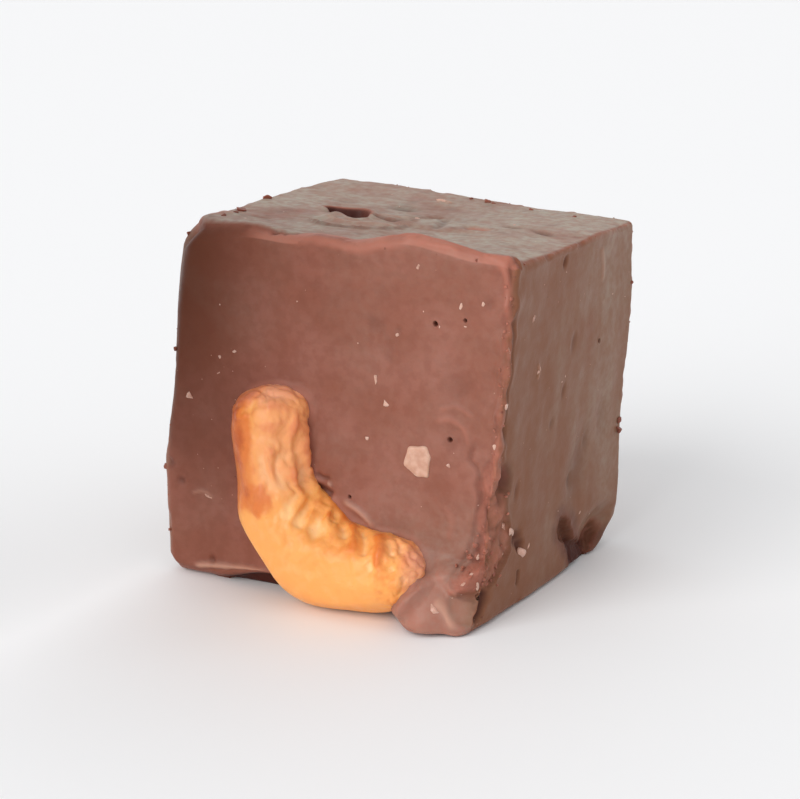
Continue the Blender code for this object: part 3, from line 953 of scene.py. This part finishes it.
def refined_cube(nut):
    """The cube of side 2 as a grid, with cells halved up to three times at features."""
    bm = bmesh.new()
    bmesh.ops.create_cube(bm, size=2)
    bmesh.ops.subdivide_edges(bm, edges=bm.edges[:], cuts=CELLS - 1, use_grid_fill=True)
    for level in (1, 2, 3):
        centres = np.array([face.calc_center_bounds()[:] for face in bm.faces])
        wanted = marked_skin(to_solid_share(centres), nut).level
        edges = {edge for face, want in zip(bm.faces, wanted) if want >= level for edge in face.edges}
        bmesh.ops.subdivide_edges(bm, edges=list(edges), cuts=1, use_grid_fill=True)
    return bm


def corners_of(bm):
    """The places of a mesh's points, and the corners of its faces."""
    bm.verts.index_update()
    faces = [[vert.index for vert in face.verts] for face in bm.faces]
    return np.array([vert.co[:] for vert in bm.verts]), faces


def fudge_block(nut, surface):
    grid, faces = corners_of(refined_cube(nut))
    skin = marked_skin(to_solid_share(grid), nut)
    point = skin.settled()
    under = (skin.normal[:, 2] < FACING_DOWN) & (skin.point[:, 2] < NEARLY_DOWN)
    point[:, 2] = np.where(under, 0, np.maximum(point[:, 2], 0))
    block = new_piece("fudge_surface", point, faces, surface)
    for name, values in skin.masks.items():
        store(block.data, name, limited(values))
    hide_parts("fudge_block")
    return block


# ---- the cashew
# half width, height, path of (share, degrees)
NUT_RIDGES = (
    (0.6, 0.12, (0.02, -75), (0.012, -45), (0.024, -18)),
    (0.5, 0.12, (0.052, -118), (0.036, -98), (0.018, -90)),
    (0.6, 0.1, (0.067, -85), (0.051, -52), (0.067, -33)),
    (0.7, 0.22, (0.114, -78), (0.123, -59), (0.161, -47)),
    (0.75, 0.36, (0.14, -36), (0.177, -31), (0.199, -42), (0.233, -46), (0.275, -43), (0.305, -31)),
    (0.8, 0.2, (0.167, -72), (0.227, -69), (0.267, -65), (0.316, -62)),
    (0.85, 0.3, (0.1, -8), (0.205, -16), (0.267, -8), (0.321, -10), (0.398, -8)),
    (0.8, 0.24, (0.1, 22), (0.161, 31)), (0.85, 0.26, (0.224, 24), (0.316, 28), (0.403, 10)),
    (0.9, 0.16, (0.33, -30), (0.38, -42), (0.42, -60)),
    (0.9, 0.42, (0.414, -13), (0.461, -35), (0.496, -49)),
    (1.15, 0.46, (0.474, -3), (0.545, -28), (0.643, -44)), (0.7, 0.34, (0.6, 4), (0.64, -14)),
    (0.75, 0.42, (0.687, -4), (0.74, -29)), (0.75, 0.52, (0.765, 4), (0.815, -28), (0.833, -50)),
    (0.6, 0.18, (0.855, -58), (0.875, -68)), (0.6, 0.22, (0.905, -15), (0.93, -42)),
    (0.5, 0.18, (0.939, -10), (0.954, -28)), (0.5, 0.2, (0.93, -58), (0.941, -68)),
    (0.5, 0.18, (0.965, -74), (0.975, -88)),
)
NUT_GROOVES = (
    (0.5, 0.2, (0.04, -14), (0.092, -20), (0.134, -22)), (0.55, 0.24, (0.134, 8), (0.21, 6), (0.3, 10)),
    (0.55, 0.16, (0.15, -54), (0.187, -59), (0.269, -55)),
    (0.5, 0.2, (0.229, -26), (0.277, -26), (0.35, -22)),
    (0.75, 0.24, (0.429, -2), (0.48, -18), (0.515, -36)), (0.6, 0.16, (0.59, -14), (0.612, -2)),
    (0.75, 0.28, (0.716, 2), (0.76, -16), (0.785, -40)),
    (0.65, 0.36, (0.846, -6), (0.885, -36), (0.894, -73)),
)
# middle, reach, push
NUT_PUSHES = (
    ((-0.9, -11.6, 8.2), (3.8, 4.5, 3.8), (0.4, 0, 0.6)),
    ((-2.4, -11.9, 16.8), (2.8, 4, 3.4), (0.6, 0, 0.25)),
    ((-2.3, -11.8, 13.2), (2, 3.5, 3.4), (0.4, 0, 0)),
    ((-6.6, -13, 17.2), (2.2, 3, 2), (-0.15, 0, 0.2)),
    ((-4.2, -12.5, 18.2), (3.6, 5, 2.6), (0, 0, 0.55)),
    ((-6.6, -13, 3.2), (5, 6, 5), (0.95, 0, 0.75)),
)
NUT_STAIN, NUT_STAIN_REACH = (0.325, -88), 2
NUT_LOWEST = 0.05


def nut_marks(nut, points, marks):
    """How strongly ridges or grooves show at each point, and their relief."""
    shown, relief = np.zeros(len(points)), np.zeros(len(points))
    for width, height, *path in marks:
        line = nut.surface(*smooth_path(path, 5).T)
        middle = line.mean(axis=0)
        reach = np.abs(line - middle).max() + 1.3 * width
        near = np.nonzero(np.abs(points - middle).max(axis=1) < reach)[0]
        distance, share = path_distance(points[near], line)
        ragged = 1 + 0.35 * noise_at(points[near], 1.1, 6)
        shape = hill(distance, width * ragged) * ramp(np.minimum(share, 1 - share), -0.15, 0.25)
        shown[near] = np.maximum(shown[near], shape)
        relief[near] = np.maximum(relief[near], height * shape)
    return shown, relief


def crinkles(points, size, shift):
    """Thin soft ridges between shallow dips, from 0 to 1."""
    return 1 - limited(2.2 * np.abs(noise_at(points, size, shift)))


def nut_relief(nut, share, degrees, points):
    """The fine relief of the nut, and its roasted colour, which has painted highlights on the ridges and fold
    crests and painted shade in the grooves and folds.
    """
    ridged, up = nut_marks(nut, points, NUT_RIDGES)
    grooved, down = nut_marks(nut, points, NUT_GROOVES)
    bent = points + 0.5 * noise_at(points, 1.8, 3)[:, None]
    inner = ramp(degrees, -108, -66) * ramp(degrees, 110, 60)
    inner_low = ramp(degrees, -80, -38) * ramp(degrees, 110, 60)
    upper, lower = ramp(share, 0.48, 0.36), ramp(share, 0.36, 0.48)
    top, end = ramp(share, 0.12, 0.05), ramp(share, 0.84, 0.92)
    folds = crinkles(bent, (1.9, 1.9, 3.6), 1) + 0.45 * crinkles(bent, (0.9, 0.9, 1.5), 5)
    small = crinkles(bent, (1, 1, 0.9), 8)
    wrinkled = limited(inner * (upper + 0.55 * lower) + 0.8 * top)
    bumps = rough_noise(points, 0.9, 3, 2)
    facets = chunks(bent, 2.2, 3) - 0.5
    height = up - down + 0.2 * wrinkled * (folds - 0.7) + 0.09 * (wrinkled + end) * (small - 0.4)
    height += 0.16 * wrinkled * facets
    height += 0.08 * end * bumps + 0.022 * noise_at(points, 0.7, 9) + 0.06 * noise_at(points, 3, 4)
    from_stain = size_of(points - nut.surface(*np.array([NUT_STAIN]).T)) + 0.45 * noise_at(points, 0.9, 5)
    stain = ramp(from_stain, NUT_STAIN_REACH, 0.35 * NUT_STAIN_REACH)
    outer_left = ramp(degrees, -70, -118) * ramp(share, 0.42, 0.28)
    roast_and_painted_light = 0.31 + 0.1 * ramp(share, 0.42, 0.1) + 0.44 * outer_left + 0.18 * end
    roast_and_painted_light += 0.07 * noise_at(points, 2.6, 7) + 0.16 * inner_low * lower * (1 - end)
    # grooves are painted deeper orange, as painted shade, and ridges paler, as painted highlight; the stain
    # is the nut's own
    roast_and_painted_light += 0.26 * grooved - (0.24 + 0.14 * lower) * ridged + 0.28 * stain + 0.02 * top
    # painted highlight on the fold crests and painted shade in the dips between them, and painted highlights
    # on the bumps at the end
    in_folds = 0.22 * wrinkled * (folds - 0.75) * (upper + inner_low * lower)
    roast_and_painted_light -= in_folds + 0.14 * end * ramp(bumps, 0, 0.6)
    roast_and_painted_light += 0.09 * ramp(degrees, -30, 10) * ramp(degrees, 60, 20) * ramp(share, 0.9, 0.7)
    return height, roast_and_painted_light


def nut_points(nut):
    """The nut's points, ring by ring, and the masks of its material."""
    rings = 0.5 - 0.5 * np.cos(np.pi * np.arange(1, NUT_RINGS) / NUT_RINGS)
    turns = 360 * np.arange(NUT_SIDES) / NUT_SIDES
    share, turn = (values.ravel() for values in np.meshgrid(rings, turns, indexing="ij"))
    smooth = nut.surface(share, turn)
    grid = smooth.reshape(len(rings), NUT_SIDES, 3)
    around = np.roll(grid, -1, axis=1) - np.roll(grid, 1, axis=1)
    normal = unit(np.cross(around, np.gradient(grid, axis=0)).reshape(-1, 3))
    degrees = (turn + 180) % 360 - 180
    height, roast_and_painted_light = nut_relief(nut, share, degrees, smooth)
    point = pushed(smooth + normal * height[:, None], smooth, NUT_PUSHES)
    point[:, 2] = np.maximum(point[:, 2], NUT_LOWEST)
    pink = 0.4 * ramp(share, 0.4, 0.25) * ramp(degrees, -98, -66) + 0.7 * ramp(share, 0.94, 0.99)
    pink += 0.35 * ramp(share, 0.86, 0.93) * ramp(degrees, -60, -20) + 0.45 * ramp(share, 0.04, 0.005)
    return point.reshape(grid.shape), {"roast_and_painted_light": roast_and_painted_light, "pink": pink}


def outline_at(grid, y):
    """The outline (x, z) of a grid of rings on the upright plane at y."""
    near, far = [], []
    for ring in grid[::3]:
        following = np.roll(ring, -1, axis=0)
        crossing = np.nonzero((ring[:, 1] - y) * (following[:, 1] - y) < 0)[0]
        if len(crossing) < 2:
            continue
        for side, line in ((crossing[0], near), (crossing[-1], far)):
            share = (y - ring[side, 1]) / (following[side, 1] - ring[side, 1])
            line.append((ring[side] + share * (following[side] - ring[side]))[[0, 2]])
    return np.array(near + far[::-1])


def cashew(grid, masks, surface):
    faces = list(ring_faces(len(grid), NUT_SIDES))
    points = grid.reshape(-1, 3)
    first, last, end = len(points), len(points) + 1, len(points) - NUT_SIDES
    for side in range(NUT_SIDES):
        following = (side + 1) % NUT_SIDES
        faces.append((following, side, first))
        faces.append((end + side, end + following, last))
    points = np.vstack([points, grid[0].mean(axis=0), grid[-1].mean(axis=0)])
    made = new_piece("cashew_nut", points, faces, surface)
    for name, values in masks.items():
        ends = (values[:NUT_SIDES].mean(), values[-NUT_SIDES:].mean())
        store(made.data, name, limited(np.append(values, ends)))
    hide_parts("cashew")


# ---- crumbs, specks and the fragment
ABOVE, SEARCH_STEPS = 1, 4  # how far outside a face the search for its surface starts, and its steps
FLAT_SIDES = 7  # how many flat broken sides a lump has
CRUMB_SEED, SPECK_SEED = 11, 5


class Surface:
    """Finds the block's surface at a point, for what sits on it."""

    def __init__(self, block):
        count = len(block.data.vertices)
        points, self.normals = np.empty((count, 3)), np.empty((count, 3))
        block.data.vertices.foreach_get("co", points.ravel())
        block.data.vertices.foreach_get("normal", self.normals.ravel())
        self.tree = kdtree.KDTree(count)
        for index, point in enumerate((points / MM).tolist()):
            self.tree.insert(point, index)
        self.tree.balance()

    def at(self, point):
        """The nearest surface point and its normal."""
        place, index, _ = self.tree.find(point)
        return np.array(place), self.normals[index]

    def on(self, face, place):
        """The surface point at a place on a face, and its normal."""
        axes, axis, sign = Skin.FACES[face]
        point = BLOCK_MIDDLE + sign * (HALF + ABOVE)
        point[list(axes)] = place
        for _ in range(SEARCH_STEPS):
            point[axis] = self.at(point)[0][axis]
        return self.at(point)


class Lumps:
    """Many small irregular lumps, gathered into one mesh."""

    def __init__(self, seed):
        self.draw = random.Random(seed)
        self.points, self.faces, self.marks = [], [], []
        ball = bmesh.new()
        bmesh.ops.create_icosphere(ball, subdivisions=3, radius=1)
        self.ball, self.ball_faces = corners_of(ball)

    def radius(self, low, high):
        """A random radius, more often a small one."""
        return self.draw.triangular(low, high, low)

    def direction(self):
        return np.array([self.draw.gauss(0, 1) for _ in range(3)])

    def add(self, middle, out, radii, along=None, roughness=0.45, tint=0, dark=0):
        """One lump. Its radii go along it, across it and out of the surface."""
        along = self.direction() if along is None else along
        along = along - (along @ out) * out
        along /= np.linalg.norm(along)
        axes = np.array([along, np.cross(out, along), out])
        ball = self.ball * (1 + roughness * noise_at(self.ball, 0.8, self.draw.uniform(0, 90)))[:, None]
        for _ in range(FLAT_SIDES):
            side = self.direction()
            side /= np.linalg.norm(side)
            ball -= np.maximum(ball @ side - self.draw.uniform(0.45, 0.75), 0)[:, None] * side
        self.faces.append(np.array(self.ball_faces) + len(ball) * len(self.points))
        self.points.append(middle + (ball * radii) @ axes)
        self.marks.append(np.full((len(ball), 2), (tint, dark)))

    def make(self, name, surface, mask):
        faces = np.vstack(self.faces).tolist()
        made = new_piece(name, np.vstack(self.points), faces, surface)
        for kind, values in zip((mask, "dark"), np.vstack(self.marks).T):
            store(made.data, kind, values)


# place in space, radius: crumbs that show on the outline or on the torn corner
CRUMBS = (
    (-13.3, -3.8, 31.2, 0.42), (-12.9, -4.9, 31.2, 0.26), (-14.2, 1.8, 31.2, 0.34),
    (-12.6, -7.7, 31.4, 0.26), (-14.7, -8.9, 29.6, 0.22), (0.1, 13.9, 30.6, 0.22), (1.8, 13.6, 30.6, 0.28),
    (2.6, 13.6, 30.5, 0.2), (6.7, 12.8, 30.4, 0.18), (11.6, 11.7, 30.4, 0.18), (16.6, 13.4, 24.6, 0.24),
    (15.7, 13.2, 10.9, 0.5), (15.6, 13.3, 11.8, 0.3), (-15.6, -11.4, 20.3, 0.24),
    (-16.4, -11.2, 9.4, 0.34), (-16.3, -11, 7.7, 0.22), (-15.6, -11.2, 3.8, 0.24),
)
EDGE_CRUMBS, EDGE_CRUMB_RADII = 40, (0.06, 0.15)
FOOT_CRUMBS, FOOT_CRUMB_RADII = 34, (0.1, 0.28)
FOOT_CRUMB_BOX = ((12.3, -12.6, 3), (15.4, -8, 7))
STRIP_CRUMBS, STRIP_CRUMB_RADII, STRIP_CRUMB_Z = 36, (0.07, 0.2), (7, 29.5)
STRIP_X, STRIP_Y = 16.2, -11.3  # where the side and the front meet along the strip
# by face: place, radius along and across, direction of its length on the face
SPECKS = {
    "front": (
        (4.4, 20, 0.52, 0.24, 0.1, 1), (5.4, 18.3, 0.4, 0.3, 1, -0.4),
        (12.2, 27.1, 0.38, 0.17, 0, 1), (6.4, 24, 0.26, 0.15, 1, 0.5),
        (8.4, 29.9, 0.26, 0.16, 0.4, 1), (15.3, 15.9, 0.26, 0.2, 0, 1),
        (11.3, 13.6, 0.26, 0.18, 1, -0.6), (16.5, 23.9, 0.26, 0.2, 0, 1),
        (16.5, 19.1, 0.34, 0.22, 0, 1), (3.4, 15.1, 0.22, 0.18, 0, 1),
        (14.2, 27.6, 0.2, 0.16, 0.5, 1), (10.3, 25.2, 0.14, 0.1, 0, 1),
        (12.6, 25.4, 0.16, 0.07, 1, 0.1), (-9.1, 20.8, 0.24, 0.16, 1, 0.3),
        (-10.8, 20, 0.17, 0.16, 1, 0), (-10.7, 18.6, 0.2, 0.14, 1, 0.4),
        (-13.9, 16.1, 0.42, 0.36, 0.3, 1), (-11.9, 7.5, 0.4, 0.16, 1, -0.4),
        (13.7, 6.1, 0.26, 0.16, 0.2, 1), (13.8, 5.3, 0.24, 0.18, 1, 0.2),
        (13.4, 4.3, 0.34, 0.18, 0.6, 1), (12.9, 3.8, 0.3, 0.16, 1, -0.2),
        (14.4, 3.9, 0.32, 0.2, 0.8, -1), (12.2, 2.9, 0.4, 0.22, 0.5, -1),
        (11.45, 2.3, 0.62, 0.42, 0.4, -1),
    ),
    "right": (
        (-6.5, 25.6, 0.34, 0.26, 0.2, 1), (-4.3, 20.5, 0.6, 0.15, 0.5, 1),
        (-8, 8.1, 0.42, 0.3, 0.6, -1), (-7.2, 7.3, 0.6, 0.34, 1, -0.7),
        (-6.3, 6.8, 0.4, 0.28, 0.8, -1), (-4.6, 4.9, 0.62, 0.52, 1, -0.4),
        (-3.6, 5.1, 0.34, 0.24, 0.2, 1), (-7.8, 5.5, 0.26, 0.18, 1, 0),
        (6.4, 4.9, 0.2, 0.12, 1, 0.5), (9.2, 4.2, 0.18, 0.12, 1, 0.5),
    ),
    "top": (
        (-1.5, 11.5, 0.5, 0.3, 1, 0.2), (9.1, 4.8, 0.26, 0.2, 1, 0),
        (-0.2, 4.4, 0.24, 0.16, 1, 0.5), (-10.9, -6.8, 0.26, 0.16, 1, 0.1),
    ),
}
FINE_SPECKS, FINE_SPECK_RADII = 80, (0.04, 0.09)


def edge_point(draw):
    """A random point on one of the block's edges, but those underneath."""
    share = [draw.choice((-1, 1)) for _ in range(3)]
    free = draw.choice((0, 1, 2))
    if free != 2:
        share[2] = 1
    share[free] = draw.uniform(-0.95, 0.95)
    return share


def crumbs(surface, material):
    """Crumbs of fudge that cling to the edges and to the torn corner."""
    lumps = Lumps(CRUMB_SEED)
    draw = lumps.draw

    def cling(point, radius, tint, dark):
        place, out = surface.at(point)
        radii = [radius * draw.uniform(0.9, 1.5), radius * draw.uniform(0.8, 1.2), radius * 0.9]
        lumps.add(place + out * radius * draw.uniform(-0.2, 0.2), out, radii, tint=tint, dark=dark)

    for *point, radius in CRUMBS:
        cling(point, radius, 0.25, draw.uniform(0.15, 0.4))
    for _ in range(EDGE_CRUMBS):
        share = np.array([edge_point(draw)])
        radius = lumps.radius(*EDGE_CRUMB_RADII)
        cling(hand_cut(share * HALF)[0], radius, 0.2, draw.uniform(0, 0.4))
    for _ in range(FOOT_CRUMBS):
        point = [draw.uniform(low, high) for low, high in zip(*FOOT_CRUMB_BOX)]
        cling(point, lumps.radius(*FOOT_CRUMB_RADII), draw.uniform(0.2, 0.8), draw.uniform(0, 0.15))
    for _ in range(STRIP_CRUMBS):
        z = draw.uniform(*STRIP_CRUMB_Z)
        start, end = (np.interp(z, TORN_FROM_Z, line) for line in (TORN_FROM_X, TORN_TO_Y))
        on_front = (draw.uniform(start, STRIP_X), STRIP_Y, z)
        point = draw.choice((on_front, (STRIP_X, draw.uniform(STRIP_Y + 0.3, end), z)))
        cling(point, lumps.radius(*STRIP_CRUMB_RADII), draw.uniform(0.4, 0.9), 0)
    lumps.make("fudge_crumbs", material, "rosy")


def specks(surface, material):
    """Pale grains of sugar and nut that lie flush in the faces."""
    lumps = Lumps(SPECK_SEED)
    draw = lumps.draw

    def lay(face, *numbers):
        place, (long, wide), direction = numbers[:2], numbers[2:4], numbers[4:]
        point, out = surface.on(face, place)
        along = np.zeros(3)
        along[list(Skin.FACES[face][0])] = direction
        thin = 0.42 * min(long, wide)
        bare = draw.uniform(0.15, 0.65)
        lumps.add(point - 0.35 * thin * out, out, (1.1 * long, 1.1 * wide, thin), along, 0.22, bare)

    for face, rows in SPECKS.items():
        for row in rows:
            lay(face, *row)
    for _ in range(FINE_SPECKS):
        face = draw.choice(tuple(Skin.FACES))
        axes = Skin.FACES[face][0]
        place = [BLOCK_MIDDLE[axis] + draw.uniform(-0.9, 0.9) * HALF[axis] for axis in axes]
        radius = lumps.radius(*FINE_SPECK_RADII)
        lay(face, *place, radius * draw.uniform(1, 1.6), radius, draw.gauss(0, 1), draw.gauss(0, 1))
    lumps.make("pale_specks", material, "bare")


FRAGMENT = np.array(((7.6, 14.9), (9.3, 15.1), (9.65, 14.1), (9.4, 12.45), (8.3, 12.35), (7.05, 13.2)))
# share of the outline's reach from its middle, height above the face
FRAGMENT_RINGS = (
    (0.8, -0.9), (0.94, -0.4), (1, 0), (0.96, 0.1), (0.88, 0.16), (0.7, 0.19), (0.45, 0.2), (0.2, 0.2),
)
FRAGMENT_STEPS = 10


def nut_fragment(surface, material):
    """A chip of nut that lies almost flush in the front face."""
    following = np.roll(FRAGMENT, -1, axis=0)
    steps = np.arange(FRAGMENT_STEPS)[:, None] / FRAGMENT_STEPS
    line = np.concatenate([a + steps * (b - a) for a, b in zip(FRAGMENT, following)])
    line = (np.roll(line, 1, axis=0) + line + np.roll(line, -1, axis=0)) / 3
    middle = line.mean(axis=0)
    (_, level, _), _ = surface.on("front", middle)
    points = []
    for reach, height in FRAGMENT_RINGS:
        x, z = (middle + reach * (line - middle)).T
        rows = np.stack([x, np.full(len(x), level - height), z], axis=1)
        rows[:, 1] += 0.07 * noise_at(rows, 0.9, 3)
        rows[:, [0, 2]] += 0.06 * np.stack([noise_at(rows, 0.5, 1), noise_at(rows, 0.5, 8)], axis=1)
        points.append(rows)
    count = len(line)
    faces = [(a, d, c, b) for a, b, c, d in ring_faces(len(points), count)]
    faces.append(range(count))
    faces.append([(len(points) - 1) * count + side for side in reversed(range(count))])
    new_piece("nut_fragment", np.vstack(points), faces, material)


# ---- stage, light and camera
CAMERA_PLACE = (91.23, -163.5, 68.8)
CAMERA_AIM = (0.5, 0, 15)
CAMERA_LENS, SENSOR_WIDTH, CLIP_START = 100, 36, 0.01
FLOOR_HALF_SIDE, FLOOR_DROP, FLOOR_COLOUR = 3000, -0.02, (0.915, 0.92, 0.925)
KEY_FROM = (-0.3, -1, 0.55)
KEY_SPREAD, KEY_STRENGTH, KEY_COLOUR = 50, 1.9, (1, 1, 1)
WORLD_COLOUR, WORLD_STRENGTH = (0.99, 0.99, 1), 0.765
CARD_X, CARD_COLOUR = -18.2, (0.05, 0.04, 0.04)
CARD_CORNERS = ((-46, 13), (-13.5, 13), (-13.5, 60), (-46, 60))


def look_at(made, place, aim):
    made.location = Vector(place) * MM
    made.rotation_euler = (Vector(aim) - Vector(place)).to_track_quat("-Z", "Y").to_euler()


def add_camera():
    camera = add_to_scene("camera", bpy.data.cameras.new("camera"))
    camera.data.lens = CAMERA_LENS
    camera.data.sensor_width = SENSOR_WIDTH
    camera.data.clip_start = CLIP_START
    look_at(camera, CAMERA_PLACE, CAMERA_AIM)
    bpy.context.scene.camera = camera


def add_key():
    """One large soft light from the front, a little to the left."""
    lamp = add_to_scene("key", bpy.data.lights.new("key", "SUN"))
    lamp.data.angle = math.radians(KEY_SPREAD)
    lamp.data.energy = KEY_STRENGTH
    lamp.data.color = KEY_COLOUR
    look_at(lamp, KEY_FROM, (0, 0, 0))


def stage_sheet(name, points, surface):
    made = mesh_object(name, points, [(0, 1, 2, 3)], surface)
    return made


def add_shade_card():
    """An unseen dark card that shades the left of the front face."""
    dark = Shader("dark_card").coat(CARD_COLOUR, 0.9)
    card = stage_sheet("shade_card", [(CARD_X, y, z) for y, z in CARD_CORNERS], dark)
    card.visible_camera = False
    card.visible_glossy = False


def add_floor():
    pale = Shader("pale_floor").coat(FLOOR_COLOUR, 0.65)
    low, high = -FLOOR_HALF_SIDE, FLOOR_HALF_SIDE
    corners = ((low, low), (high, low), (high, high), (low, high))
    stage_sheet("floor", [(x, y, FLOOR_DROP) for x, y in corners], pale)


def add_world():
    world = bpy.data.worlds.new("studio")
    world.use_nodes = True
    background = world.node_tree.nodes["Background"].inputs
    background["Color"].default_value = (*WORLD_COLOUR, 1)
    background["Strength"].default_value = WORLD_STRENGTH
    bpy.context.scene.world = world
    bpy.context.scene.view_settings.view_transform = "Standard"


add_camera()
add_floor()
add_shade_card()
add_key()
add_world()
nut = Nut()
nut_grid, nut_masks = nut_points(nut)
nut.outline = outline_at(nut_grid, NUT_MEETS_FACE_Y)
fudge = fudge_material()
block_surface = Surface(fudge_block(nut, fudge))
cashew(nut_grid, nut_masks, nut_material())
crumbs(block_surface, fudge)
specks(block_surface, sugar_material())
nut_fragment(block_surface, fragment_material())
